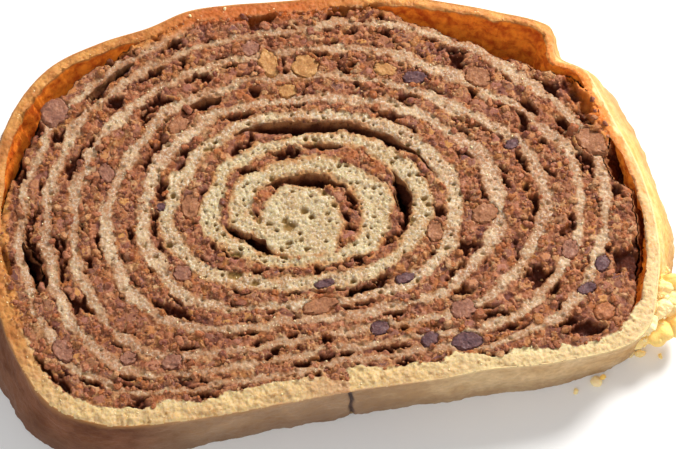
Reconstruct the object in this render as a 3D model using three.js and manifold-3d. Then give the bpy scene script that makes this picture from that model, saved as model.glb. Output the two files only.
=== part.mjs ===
// A slice of nut roll lying on one cut face, with the other cut face up.
// A sheet of yeast dough is spread with walnut filling, rolled up in almost nine turns and baked.
// The outside of the sheet is the crust, and its end is a seam in the flat base of the roll.
// Millimetres, +Z up. X runs along the base crust and Y from the base to the domed top.
// The origin is under the middle of the slice, on the surface that it lies on.

import * as THREE from 'three';
import Module from 'manifold-3d';

const wasm = await Module();
wasm.setup();

// ---- Driving dimensions --------------------------------------------------------------------

const SLICE = 15;                       // thickness of the slice
const SPIRAL_CENTRE = [-2.8, -4.15];    // middle of the spiral, from the middle of the slice
const GAP = 0.25;                       // air between two neighbouring pieces
const WELD = 0.2;                       // depth to which baked layers run into each other

// Radius of the cut edge round the spiral centre, every 10 degrees from +X towards +Y.
const OUTLINE = [
  64.1, 62.0, 61.8, 61.8, 56.3, 51.9, 49.0, 46.4, 44.7,
  44.5, 45.8, 47.9, 49.2, 53.3, 57.8, 59.7, 59.9, 59.5,
  59.4, 60.0, 60.2, 59.7, 54.9, 47.6, 42.2, 38.6, 36.6,
  35.8, 36.3, 38.2, 41.4, 46.2, 55.8, 66.8, 67.4, 66.1,
];

// How much wider the roll is at the lower face, in the same directions.
const FLARE = [
  5.3, 6.6, 5.4, 2.4, 2.2, 2.1, 2.0, 1.8, 1.5,
  1.4, 1.3, 1.3, 1.4, 1.6, 1.9, 2.2, 2.9, 3.8,
  4.4, 4.7, 4.8, 4.4, 3.3, 2.0, 1.0, 0.7, 0.6,
  0.6, 0.4, 0.3, 0.5, 1.1, 0.6, -0.8, 1.9, 5.4,
];

// A torn notch in the top crust: its direction, its depth and half its width in degrees.
const NOTCH = { angle: 25.4, depth: 3.3, half: 6 };

// Middle of the dough sheet, one row a turn, every 30 degrees clockwise from -X.
const TURNS = [
  [11.2, 12.4, 10.6, 10.1, 10.5, 12.0, 13.8, 13.0, 11.0,  9.6, 10.6, 12.8],
  [17.3, 17.6, 15.8, 14.8, 16.4, 19.4, 22.6, 19.8, 15.7, 13.6, 15.2, 20.0],
  [25.8, 24.0, 22.0, 20.2, 21.2, 24.8, 28.4, 26.0, 20.4, 17.7, 19.4, 26.8],
  [30.5, 29.5, 26.2, 23.5, 25.3, 30.6, 36.6, 32.6, 24.2, 20.9, 23.6, 33.2],
  [37.3, 35.2, 31.2, 28.5, 29.8, 35.6, 45.4, 39.4, 27.6, 24.1, 28.2, 40.8],
  [43.7, 41.8, 36.6, 33.6, 35.9, 41.6, 52.4, 46.4, 31.4, 27.1, 32.0, 46.0],
  [48.9, 47.0, 41.5, 37.9, 42.1, 48.8, 56.8, 52.0, 34.4, 29.9, 35.3, 50.8],
  [53.5, 51.2, 45.2],
];

// Thickness of the sheet against the turn count from its inner end.
const SHEET = [
  [0.00, 5.6], [0.10, 4.2], [0.25, 2.9], [0.38, 4.2], [0.50, 6.8], [0.60, 4.6], [0.68, 2.9],
  [0.75, 2.6], [0.92, 3.0], [1.00, 4.4], [1.12, 3.6], [1.25, 2.4], [1.40, 3.4], [1.50, 4.6],
  [1.62, 3.0], [1.75, 2.6], [2.00, 2.9], [2.25, 2.2], [2.50, 2.9], [2.75, 1.9], [3.00, 2.5], [3.25, 1.8],
  [3.50, 2.5], [3.75, 1.7], [4.00, 2.3], [4.25, 1.7], [4.50, 2.2], [4.75, 1.5], [5.00, 2.0],
  [5.25, 1.6], [5.50, 1.9], [5.75, 1.4], [6.00, 1.8], [6.25, 1.5], [6.50, 1.7], [6.75, 1.4],
  [7.00, 1.7], [7.18, 1.4], [7.27, 0.6], [7.52, 0.6], [7.56, 0.9], [7.61, 2.5], [7.64, 2.1],
  [7.70, 2.1], [7.74, 2.3], [7.77, 4.0], [7.88, 4.2], [7.92, 3.2], [7.96, 2.5], [8.00, 2.2],
  [8.35, 2.0], [8.50, 1.7], [8.60, 2.6], [8.75, 2.2],
];
const FREE_TURNS = 7.167;               // from here on the sheet follows the crust
const BASE_TURN = 7.735;                // here it comes out from under the seam
const CRUST_START = 7.93;               // where the outermost turn is joined on
const SHEET_END = 8.7375;               // the seam in the base

// Lump of dough in the middle: radius every 30 degrees from +X towards +Y.
const CORE = [7.2, 6.5, 5.9, 5.5, 7.0, 7.6, 7.8, 9.0, 9.2, 9.2, 9.0, 7.8];

// The filling runs between two turns, and thins out where the roll has opened.
const FILLING = { start: 0.13, end: 7.15 };
const OPENINGS = [                      // [turn, half width in turns, filled share of the gap]
  [0.31, 0.035, 0.40], [0.495, 0.034, 0.15], [1.316, 0.115, 0.05], [1.677, 0.022, 0.30],
  [3.165, 0.014, 0.25], [5.993, 0.013, 0.20], [6.125, 0.016, 0.35], [6.385, 0.05, 0.1],
  [6.498, 0.012, 0.10], [6.535, 0.03, 0.85], [7.095, 0.055, 0.35],
];
const CORE_FILLING = { start: 0.02, end: 0.6 };
const CORE_OPENING = [0.26, 0.115, 0.10];
const THINNEST = 0.45;                  // filling that still clings to the dough

const DOUGH_RELIEF = 0.2;
const FILLING_RELIEF = 0.4;
const FILLING_SINK = 0.3;               // the filling lies a little under the cut dough

// Largest pieces of walnut: [name, x and y from the spiral centre, length, width, direction in
// degrees, colour].
const NUTS = [
  ['nut_right_top', 56.2, 6.3, 7.4, 5.0, -50, 'brown'],
  ['nut_right_middle', 33.5, -5.0, 5.6, 4.4, 10, 'brown'],
  ['nut_top_round', 4.5, 30.1, 5.6, 5.2, 0, 'pale'],
  ['nut_top_tall', -2.4, 31.8, 6.4, 4.2, 100, 'pale'],
  ['nut_left_gap', -44.2, 27.7, 6.4, 5.4, 60, 'mauve'],
  ['nut_left_inner', -21.2, 4.9, 5.6, 3.6, 75, 'brown'],
  ['nut_left_upper', -21.3, 21.6, 5.0, 3.2, 30, 'brown'],
  ['nut_top_dark', 25.1, 24.5, 5.2, 3.0, -12, 'dark'],
  ['nut_top_flat', 19.6, 27.1, 5.0, 3.0, -20, 'pale'],
  ['nut_right_shoulder', 37.1, 22.9, 5.6, 4.6, -30, 'brown'],
  ['nut_low_right', 26.2, -23.1, 5.2, 4.2, 5, 'mauve'],
  ['nut_base_right', 25.9, -29.3, 6.2, 3.8, 0, 'dark'],
  ['nut_low_middle', 0.1, -18.4, 7.6, 3.4, 8, 'brown'],
  ['nut_right_corner', 52.2, -27.5, 4.8, 3.8, 20, 'amber'],
  ['nut_left_corner', -48.3, -19.8, 5.2, 3.6, -60, 'mauve'],
];
const NUT_DEPTH = 4.5;
const NUT_LUMPINESS = 0.2;
const NUT_SIDES = 10;
const NUT_LEVELS = [[1, 0], [0.88, 0.4], [0.6, 0.8]];   // [share of the width, share of the depth]

const COLOURS = {
  dough: { color: '#c9a97c', roughness: 0.85 },
  filling: { color: '#8a5236', roughness: 0.8 },
  pale: { color: '#c0955c', roughness: 0.55 },
  brown: { color: '#94603f', roughness: 0.55 },
  mauve: { color: '#7d5147', roughness: 0.55 },
  dark: { color: '#573a3c', roughness: 0.5 },
  amber: { color: '#a8602f', roughness: 0.5 },
};

// ---- Curves through the dimensions ------------------------------------------------------------

const { clamp, lerp, smoothstep, degToRad, euclideanModulo } = THREE.MathUtils;

// Smooth curve through evenly spaced values. A closed one joins its end to its start.
function through(values, position, closed) {
  const count = values.length;
  const value = (k) => values[closed ? euclideanModulo(k, count) : clamp(k, 0, count - 1)];
  const first = Math.floor(position);
  const t = position - first;
  const [from, to] = [value(first), value(first + 1)];
  const leave = (to - value(first - 1)) / 2;
  const arrive = (value(first + 2) - from) / 2;
  const ease = t * t * (3 - 2 * t);
  return lerp(from, to, ease) + t * (1 - t) * ((1 - t) * leave - t * arrive);
}

// Straight lines between [position, value] stops.
function between(stops, position) {
  const next = stops.findIndex(([at]) => at > position);
  if (next === 0) return stops[0][1];
  if (next < 0) return stops.at(-1)[1];
  const [[x0, y0], [x1, y1]] = [stops[next - 1], stops[next]];
  return lerp(y0, y1, (position - x0) / (x1 - x0));
}

// The sheet is rolled clockwise from -X, so a turn count gives a direction.
const turnAngle = (turn) => 180 - 360 * turn;

function outline(angle) {
  const around = euclideanModulo(angle, 360);
  const away = Math.min(Math.abs(around - NOTCH.angle) / NOTCH.half, 1);
  return through(OUTLINE, around / 10, true) - NOTCH.depth * Math.cos(away * Math.PI / 2) ** 2;
}

function widening(angle, z) {
  const position = euclideanModulo(angle, 360) / 10;
  const extra = through(FLARE, position, true) / through(OUTLINE, position, true);
  return 1 + extra * (1 - z / SLICE);
}

// Inner and outer radius of the dough sheet on the upper face.
function sheet(turn) {
  const angle = turnAngle(turn);
  const thick = between(SHEET, turn);
  if (turn <= FREE_TURNS) {
    const middle = through(TURNS.flat(), turn * 12, false);
    return { inner: middle - thick / 2, outer: middle + thick / 2 };
  }
  let outer = outline(angle);
  if (turn < BASE_TURN) {
    const away = smoothstep(turn, FREE_TURNS, FREE_TURNS + 0.06);
    const free = TURNS.at(-1).at(-1) + thick / 2;
    outer = lerp(free, outer - between(SHEET, turn + 1) + WELD, away);
  }
  return { inner: outer - thick, outer };
}

// ---- Solids ---------------------------------------------------------------------------------

const fract = (value) => value - Math.floor(value);
const random = (a, b) => fract(Math.sin(a * 127.1 + b * 311.7) * 43758.5453);

// Position in the slice of a point given round the spiral centre on the upper face.
function place(angle, radius, z) {
  const r = radius * widening(angle, z);
  const [x, y] = SPIRAL_CENTRE;
  return [x + r * Math.cos(degToRad(angle)), y + r * Math.sin(degToRad(angle)), z];
}

function toSolid(positions, triangles) {
  const mesh = new wasm.Mesh({
    numProp: 3,
    vertProperties: new Float32Array(positions.flat()),
    triVerts: new Uint32Array(triangles.flat()),
  });
  return new wasm.Manifold(mesh);
}

// Closed band along the spiral. Each station is a ring of points that starts at the lower outer
// edge and ends at the upper outer edge. The two walls are split along the same diagonal, so that
// the walls of neighbouring bands stay parallel.
function band(rings) {
  const size = rings[0].length;
  const triangles = [];
  for (let s = 0; s < rings.length - 1; s += 1) {
    for (let k = 0; k < size; k += 1) {
      const a = s * size + k;
      const b = s * size + ((k + 1) % size);
      const [c, d] = [a + size, b + size];
      if (k === size - 1) triangles.push([a, c, b], [b, c, d]);
      else triangles.push([a, d, b], [a, c, d]);
    }
  }
  const last = (rings.length - 1) * size;
  for (let k = 1; k < size - 1; k += 1) {
    triangles.push([0, k, k + 1], [last, last + k + 1, last + k]);
  }
  return toSolid(rings.flat(), triangles);
}

// Directions at which every layer has a section, so that neighbouring layers stay parallel.
// There are more of them at the step, the seam and the lower right corner.
const EXTRA_DIRECTIONS = [23, 25.5, 28, 274, 277, 325, 335];
const REGULAR_DIRECTIONS = OUTLINE.map((_, k) => 10 * k);
const SHARES = [...REGULAR_DIRECTIONS, ...EXTRA_DIRECTIONS]
  .map((angle) => ((540 - angle) % 360) / 360)
  .sort((a, b) => a - b);

function stations(start, end) {
  const turns = [];
  for (let whole = Math.floor(start); whole < end; whole += 1) {
    SHARES.forEach((share) => turns.push(whole + share));
  }
  const inside = turns.filter((turn) => turn > start + 1e-3 && turn < end - 1e-3);
  return [start, ...inside, end];
}

// Cross-section of a layer: flat below, with a lumpy upper face.
function section(turn, inner, outer, top, relief) {
  const angle = turnAngle(turn);
  const lift = (k) => top + relief * (random(Math.round(turn * 1000), k) - 0.5);
  const middle = (inner + outer) / 2;
  return [
    place(angle, outer, 0),
    place(angle, inner, 0),
    place(angle, inner, lift(1) - relief / 2),
    place(angle, middle, Math.min(lift(2), SLICE)),
    place(angle, outer, lift(3) - relief / 2),
  ];
}

function doughBand(start, end, inset) {
  const rings = stations(start, end).map((turn) => {
    const { inner, outer } = sheet(turn);
    const edge = turn < start + 0.03 ? inset : 0;
    const top = SLICE - edge - DOUGH_RELIEF / 2;
    return section(turn, inner + edge, outer - edge, top, DOUGH_RELIEF);
  });
  return band(rings);
}

// Lump where the rolling began; it has run into the first turn below it.
function coreLump() {
  const sides = 24;
  const positions = [];
  const triangles = [];
  for (let k = 0; k < sides; k += 1) {
    const angle = (360 * k) / sides;
    const radius = through(CORE, (k * CORE.length) / sides, true);
    positions.push(place(angle, radius, 0), place(angle, radius, SLICE - DOUGH_RELIEF));
  }
  const [bottom, top] = [2 * sides, 2 * sides + 1];
  positions.push(place(0, 0, 0), place(0, 0, SLICE));
  for (let k = 0; k < sides; k += 1) {
    const [a, b] = [2 * k, 2 * ((k + 1) % sides)];
    triangles.push([a, b, b + 1], [a, b + 1, a + 1], [bottom, b, a], [top, a + 1, b + 1]);
  }
  return toSolid(positions, triangles);
}

// Share of the gap that is filled at a turn count.
function filled(turn, openings) {
  const shares = openings.map(([at, half, share]) => {
    const away = smoothstep(Math.abs(turn - at), half * 0.5, half * 1.5);
    return lerp(share, 1, away);
  });
  return Math.min(...shares);
}

function fillingSection(turn, inner, outer, openings) {
  const reach = Math.max((outer - inner) * filled(turn, openings), THINNEST);
  const top = SLICE - FILLING_SINK - FILLING_RELIEF / 2;
  return section(turn, inner, inner + reach, top, FILLING_RELIEF);
}

function fillingBand() {
  const rings = stations(FILLING.start, FILLING.end).map((turn) => {
    const inner = sheet(turn).outer + GAP;
    const outer = sheet(turn + 1).inner - GAP;
    return fillingSection(turn, inner, outer, OPENINGS);
  });
  return band(rings);
}

// Filling rolled in round the lump in the middle.
function coreFillingBand() {
  const rings = stations(CORE_FILLING.start, CORE_FILLING.end).map((turn) => {
    const inner = through(CORE, euclideanModulo(turnAngle(turn), 360) / 30, true) + GAP;
    return fillingSection(turn, inner, sheet(turn).inner - GAP, [CORE_OPENING]);
  });
  return band(rings);
}

// A piece of walnut cut flush by the knife: a lumpy bowl with a flat top. Its pocket is larger by
// the clearance and open above.
function nutSolid(index, clearance) {
  const [, x, y, length, width, direction] = NUTS[index];
  const levels = NUT_LEVELS.map(([share, depth]) => [share, -depth * (NUT_DEPTH + clearance)]);
  if (clearance > 0) levels.unshift([1, 1]);
  const turn = degToRad(direction);
  const centre = [SPIRAL_CENTRE[0] + x, SPIRAL_CENTRE[1] + y];
  const positions = [];
  levels.forEach(([share, height]) => {
    for (let k = 0; k < NUT_SIDES; k += 1) {
      const swell = share * (1 + NUT_LUMPINESS * (random(index, k) - 0.5));
      const along = Math.cos((2 * Math.PI * k) / NUT_SIDES) * (length / 2 + clearance) * swell;
      const across = Math.sin((2 * Math.PI * k) / NUT_SIDES) * (width / 2 + clearance) * swell;
      positions.push([
        centre[0] + along * Math.cos(turn) - across * Math.sin(turn),
        centre[1] + along * Math.sin(turn) + across * Math.cos(turn),
        SLICE - FILLING_SINK + height,
      ]);
    }
  });
  positions.push([...centre, SLICE - FILLING_SINK - NUT_DEPTH - clearance]);
  const triangles = [];
  const lowest = (levels.length - 1) * NUT_SIDES;
  for (let k = 0; k < NUT_SIDES; k += 1) {
    const next = (k + 1) % NUT_SIDES;
    for (let ring = 0; ring < lowest; ring += NUT_SIDES) {
      const [a, b, c, d] = [ring + k, ring + next, ring + NUT_SIDES + k, ring + NUT_SIDES + next];
      triangles.push([a, c, d], [a, d, b]);
    }
    triangles.push([lowest + k, positions.length - 1, lowest + next]);
    if (k > 1) triangles.push([0, k - 1, k]);
  }
  return toSolid(positions, triangles);
}

// The largest body of a solid; scraps that a cut leaves loose are dropped.
function wholeBody(solid) {
  return solid.decompose().reduce((best, piece) => (piece.volume() > best.volume() ? piece : best));
}

function addMesh(group, name, solid, colour) {
  const { vertProperties, triVerts } = wholeBody(solid).getMesh();
  const geometry = new THREE.BufferGeometry();
  geometry.setAttribute('position', new THREE.BufferAttribute(vertProperties, 3));
  geometry.setIndex(new THREE.BufferAttribute(triVerts, 1));
  geometry.computeVertexNormals();
  const material = new THREE.MeshStandardMaterial({ metalness: 0, ...COLOURS[colour] });
  const mesh = new THREE.Mesh(geometry, material);
  mesh.name = name;
  group.add(mesh);
}

// ---- The slice --------------------------------------------------------------------------------

const slice = new THREE.Group();
const pockets = NUTS.map((_, index) => nutSolid(index, GAP));
const withPockets = (solid) => pockets.reduce((rest, pocket) => rest.subtract(pocket), solid);

const innerTurns = doughBand(0, 8, 0);
const outerTurn = doughBand(CRUST_START, SHEET_END, 0.05);
addMesh(slice, 'dough', withPockets(innerTurns.add(outerTurn).add(coreLump())), 'dough');
addMesh(slice, 'filling', withPockets(fillingBand()), 'filling');
addMesh(slice, 'filling_core', coreFillingBand(), 'filling');
NUTS.forEach(([name, , , , , , colour], index) => {
  addMesh(slice, name, nutSolid(index, 0), colour);
});

export default slice;
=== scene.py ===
# A slice of nut roll lying on one cut face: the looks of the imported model.
# Lengths in the tables are millimetres. Meshes are in metres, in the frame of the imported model.
import math

import bmesh
import bpy
import numpy as np
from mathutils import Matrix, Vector


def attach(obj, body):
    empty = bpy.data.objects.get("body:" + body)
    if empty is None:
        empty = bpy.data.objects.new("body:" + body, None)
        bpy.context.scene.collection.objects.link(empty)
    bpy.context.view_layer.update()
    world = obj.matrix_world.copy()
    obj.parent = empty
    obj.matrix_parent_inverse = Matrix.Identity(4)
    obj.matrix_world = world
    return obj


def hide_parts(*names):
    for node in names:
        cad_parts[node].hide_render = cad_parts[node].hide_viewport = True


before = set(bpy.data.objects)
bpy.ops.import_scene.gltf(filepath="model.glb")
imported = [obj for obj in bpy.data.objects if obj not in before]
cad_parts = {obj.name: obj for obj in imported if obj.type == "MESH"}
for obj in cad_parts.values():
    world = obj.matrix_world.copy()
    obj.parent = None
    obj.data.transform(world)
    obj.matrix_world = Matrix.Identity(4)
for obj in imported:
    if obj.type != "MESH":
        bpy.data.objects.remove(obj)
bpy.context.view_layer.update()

MM = 0.001
rng = np.random.default_rng(11)

# ---- Sizes of the slice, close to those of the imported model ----

SLICE = 15.0  # thickness of the slice
MID_X, MID_Y = -2.8, -4.15  # the middle of the spiral
CELL = 0.26  # spacing of the points on the upper cut face
UNDER_CELL = 0.8  # and on the lower one
EDGE_Z = SLICE - 0.3  # the cut edge, where the rim isn't rounded down
DOUGH_Z = 14.66  # mean levels of the dough and the filling on the cut face
FILLING_Z = 14.42
LOW_Z = 13.9  # highest level of the ground under a nut
BUBBLE_DEPTH = 0.8
PIT_DEPTH = 2.1
NUT_MIDDLE_Z = 13.25
NUT_HALF_HEIGHT = 2.1
WALL_FOOT_Z = 0.3  # where the walls of the openings end

# Radius of the cut edge, every 10 degrees from +X towards +Y.
OUTLINE = [64.1, 62.0, 61.8, 61.8, 56.3, 51.9, 49.0, 46.4, 44.7,
           44.5, 45.8, 47.9, 49.2, 53.3, 57.8, 59.7, 59.9, 59.5,
           59.4, 60.0, 60.2, 59.7, 54.9, 47.6, 42.2, 38.6, 36.6,
           35.8, 36.3, 38.2, 41.4, 46.2, 55.8, 66.8, 67.4, 66.1]
# How much wider the roll is at the lower face, in the same directions.
FLARE = [5.3, 6.6, 5.4, 2.4, 2.2, 2.1, 2.0, 1.8, 1.5,
         1.4, 1.3, 1.3, 1.4, 1.6, 1.9, 2.2, 2.9, 3.8,
         4.4, 4.7, 4.8, 4.4, 3.3, 2.0, 1.0, 0.7, 0.6,
         0.6, 0.4, 0.3, 0.5, 1.1, 0.6, -0.8, 1.9, 5.4]
# A torn notch in the top crust: its direction, its depth and half its width in degrees.
NOTCH_ANGLE, NOTCH_DEPTH, NOTCH_HALF = 25.4, 3.3, 6.0

# Middle of the dough sheet, one row a turn, every 30 degrees clockwise from -X.
TURNS = [[11.2, 12.4, 10.6, 10.1, 10.5, 12.0, 13.8, 13.0, 11.0, 9.6, 10.6, 12.8],
         [17.3, 17.6, 15.8, 14.8, 16.4, 19.4, 22.6, 19.8, 15.7, 13.6, 15.2, 20.0],
         [25.8, 24.0, 22.0, 20.2, 21.2, 24.8, 28.4, 26.0, 20.4, 17.7, 19.4, 26.8],
         [30.5, 29.5, 26.2, 23.5, 25.3, 30.6, 36.6, 32.6, 24.2, 20.9, 23.6, 33.2],
         [37.3, 35.2, 31.2, 28.5, 29.8, 35.6, 45.4, 39.4, 27.6, 24.1, 28.2, 40.8],
         [43.7, 41.8, 36.6, 33.6, 35.9, 41.6, 52.4, 46.4, 31.4, 27.1, 32.0, 46.0],
         [48.9, 47.0, 41.5, 37.9, 42.1, 48.8, 56.8, 52.0, 34.4, 29.9, 35.3, 50.8],
         [53.5, 51.2, 45.2]]
TURN_LIST = [radius for row in TURNS for radius in row]

# Thickness of the sheet against the turn count.
SHEET = np.array([
    [0, 5.6], [0.1, 4.2], [0.25, 2.9], [0.38, 4.2], [0.5, 6.8], [0.6, 4.6], [0.68, 2.9],
    [0.75, 2.6], [0.92, 3.0], [1, 4.4], [1.12, 3.6], [1.25, 2.4], [1.4, 3.4], [1.5, 4.6],
    [1.62, 3.0], [1.75, 2.6], [2, 2.9], [2.25, 2.2], [2.5, 2.9], [2.75, 1.9], [3, 2.5],
    [3.25, 1.8], [3.5, 2.5], [3.75, 1.7], [4, 2.3], [4.25, 1.7], [4.5, 2.2], [4.75, 1.5],
    [5, 2.0], [5.25, 1.6], [5.5, 1.9], [5.75, 1.4], [6, 1.8], [6.25, 1.5], [6.5, 1.7],
    [6.75, 1.4], [7, 1.7], [7.18, 1.4], [7.27, 0.6], [7.52, 0.6], [7.56, 0.9],
    [7.61, 2.5], [7.64, 2.1], [7.7, 2.1], [7.74, 2.3], [7.77, 4.0], [7.88, 4.2],
    [7.92, 3.2], [7.96, 2.5], [8, 2.2], [8.35, 2.0], [8.5, 1.7], [8.6, 2.6], [8.75, 2.2]])
FREE_TURNS = 7.167  # up to here the sheet follows TURNS
BASE_TURN = 7.735  # from here on the sheet is the crust
SHEET_END = 8.7375
WELD = 0.2  # how far the last layer reaches into the crust
# Radius of the lump in the middle, every 30 degrees from +X.
CORE = [7.2, 6.5, 5.9, 5.5, 7.0, 7.8, 8.6, 9.0, 9.2, 9.2, 9.0, 7.8]

# Where the roll has opened: [turn, half width in turns, filled share of the gap].
OPENINGS = [[0.31, 0.035, 0.40], [0.495, 0.034, 0.15], [1.316, 0.115, 0.05], [1.677, 0.022, 0.30],
            [3.165, 0.014, 0.25], [5.993, 0.011, 0.30], [6.125, 0.016, 0.35], [6.385, 0.05, 0.05],
            [6.498, 0.012, 0.10], [6.535, 0.03, 0.77], [7.095, 0.055, 0.35]]
CORE_OPENINGS = [[0.26, 0.115, 0.10]]
SHEET_START = -0.035  # the round inner end of the sheet
BRIDGE = [-8.4, -1.4, 2.3]  # where that end is baked onto the core: place and radius


# ---- Curves and noise ----

def columns(*values):
    """Coordinates or numbers side by side, as the columns of an array."""
    return np.stack(values, axis=-1)


def ease(low, high, value):
    """0 at low and 1 at high, with a soft change between. Low may be the larger."""
    t = np.clip((value - low) / (high - low), 0.0, 1.0)
    return t * t * (3.0 - 2.0 * t)


def through(values, position, closed):
    """Smooth curve through evenly spaced values."""
    values = np.asarray(values, dtype=float)
    count = len(values)
    first = np.floor(position).astype(int)
    t = position - first

    def value(k):
        return values[k % count] if closed else values[np.clip(k, 0, count - 1)]

    a, b, c, d = value(first - 1), value(first), value(first + 1), value(first + 2)
    blend = t * t * (3.0 - 2.0 * t)
    return b + (c - b) * blend + t * (1.0 - t) * ((1.0 - t) * (c - a) - t * (d - b)) / 2.0


def hashed(ix, iy, seed):
    """Even random numbers from 0 to 1 for whole-numbered places."""
    low_bits = 0xFFFFFFFF
    n = ix.astype(np.int64) * 374761393 + iy.astype(np.int64) * 668265263 + seed * 974711
    n = n & low_bits
    n = ((n ^ (n >> 13)) * 1274126177) & low_bits
    n = ((n ^ (n >> 16)) * 2246822519) & low_bits
    return ((n ^ (n >> 15)) & 0xFFFFFF) / float(0xFFFFFF)


def noise(x, y, size, seed):
    """Soft noise from about -1 to 1 with lumps of the given size. Each use has its own seed."""
    px, py = x / size, y / size
    ix, iy = np.floor(px), np.floor(py)
    fx, fy = px - ix, py - iy
    ux = fx * fx * fx * (fx * (fx * 6 - 15) + 10)
    uy = fy * fy * fy * (fy * (fy * 6 - 15) + 10)

    def corner(dx, dy):
        angle = hashed(ix + dx, iy + dy, seed) * 2 * np.pi
        return np.cos(angle) * (fx - dx) + np.sin(angle) * (fy - dy)

    low = corner(0, 0) * (1 - ux) + corner(1, 0) * ux
    high = corner(0, 1) * (1 - ux) + corner(1, 1) * ux
    return (low * (1 - uy) + high * uy) * 1.5


def noises(x, y, *layers):
    """Several noises added up, each given as its height, size and seed."""
    return sum(height * noise(x, y, size, seed) for height, size, seed in layers)


def cells(x, y, size, seed):
    """Nearest and second nearest scattered point, a random tag and a random slope for each."""
    px, py = x / size, y / size
    ix, iy = np.floor(px), np.floor(py)
    nearest = np.full(x.shape, 9.0)
    second = np.full(x.shape, 9.0)
    tag = np.zeros(x.shape)
    slope = np.zeros(x.shape)
    for dx in (-1, 0, 1):
        for dy in (-1, 0, 1):
            cx, cy = ix + dx, iy + dy
            ox = cx + 0.1 + 0.8 * hashed(cx, cy, seed)
            oy = cy + 0.1 + 0.8 * hashed(cx, cy, seed + 1)
            away = np.hypot(px - ox, py - oy)
            closer = away < nearest
            second = np.where(closer, nearest, np.minimum(second, away))
            tag = np.where(closer, hashed(cx, cy, seed + 2), tag)
            turn = 2 * np.pi * hashed(cx, cy, seed + 3)
            tilt = (px - ox) * np.cos(turn) + (py - oy) * np.sin(turn)
            slope = np.where(closer, tilt, slope)
            nearest = np.where(closer, away, nearest)
    return nearest, second, tag, slope


# ---- The roll as functions of direction and turn ----

def outline(angle):
    """Radius of the cut edge in a direction, in degrees."""
    around = np.mod(angle, 360.0)
    away = np.minimum(np.abs(around - NOTCH_ANGLE) / NOTCH_HALF, 1.0)
    return through(OUTLINE, around / 10.0, True) - NOTCH_DEPTH * np.cos(away * np.pi / 2) ** 2


def widening(angle, z):
    """How much wider the roll is at height z than at the upper face."""
    position = np.mod(angle, 360.0) / 10.0
    extra = through(FLARE, position, True) / through(OUTLINE, position, True)
    return 1.0 + extra * (1.0 - z / SLICE)


def sheet(turn):
    """Inner and outer radius of the dough sheet at a turn count."""
    thick = np.interp(turn, SHEET[:, 0], SHEET[:, 1])
    middle = through(TURN_LIST, np.minimum(turn, FREE_TURNS) * 12.0, False)
    angle = 180.0 - 360.0 * turn
    edge = outline(angle)
    under_crust = edge - np.interp(turn + 1.0, SHEET[:, 0], SHEET[:, 1]) + WELD
    away = ease(FREE_TURNS, FREE_TURNS + 0.06, turn)
    outer = np.where(turn < BASE_TURN, (middle + thick / 2) * (1 - away) + under_crust * away, edge)
    outer = np.where(turn <= FREE_TURNS, middle + thick / 2, outer)
    return outer - thick, outer


def filled(turn, openings):
    """Share of the gap that holds filling."""
    share = np.ones_like(turn)
    for at, half, least in openings:
        away = ease(half * 0.5, half * 1.5, np.abs(turn - at))
        share = np.minimum(share, least + (1 - least) * away)
    return share


def rim_drop(angle):
    """How far the baked edge is rounded down below the cut face."""
    right = np.cos(np.radians(angle - 18.0))
    return 0.2 + 0.9 * ease(0.6, 0.9, right)


def to_polar(x, y):
    """Direction in degrees and distance from the middle of the spiral."""
    dx, dy = x - MID_X, y - MID_Y
    return np.degrees(np.arctan2(dy, dx)), np.hypot(dx, dy)


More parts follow.
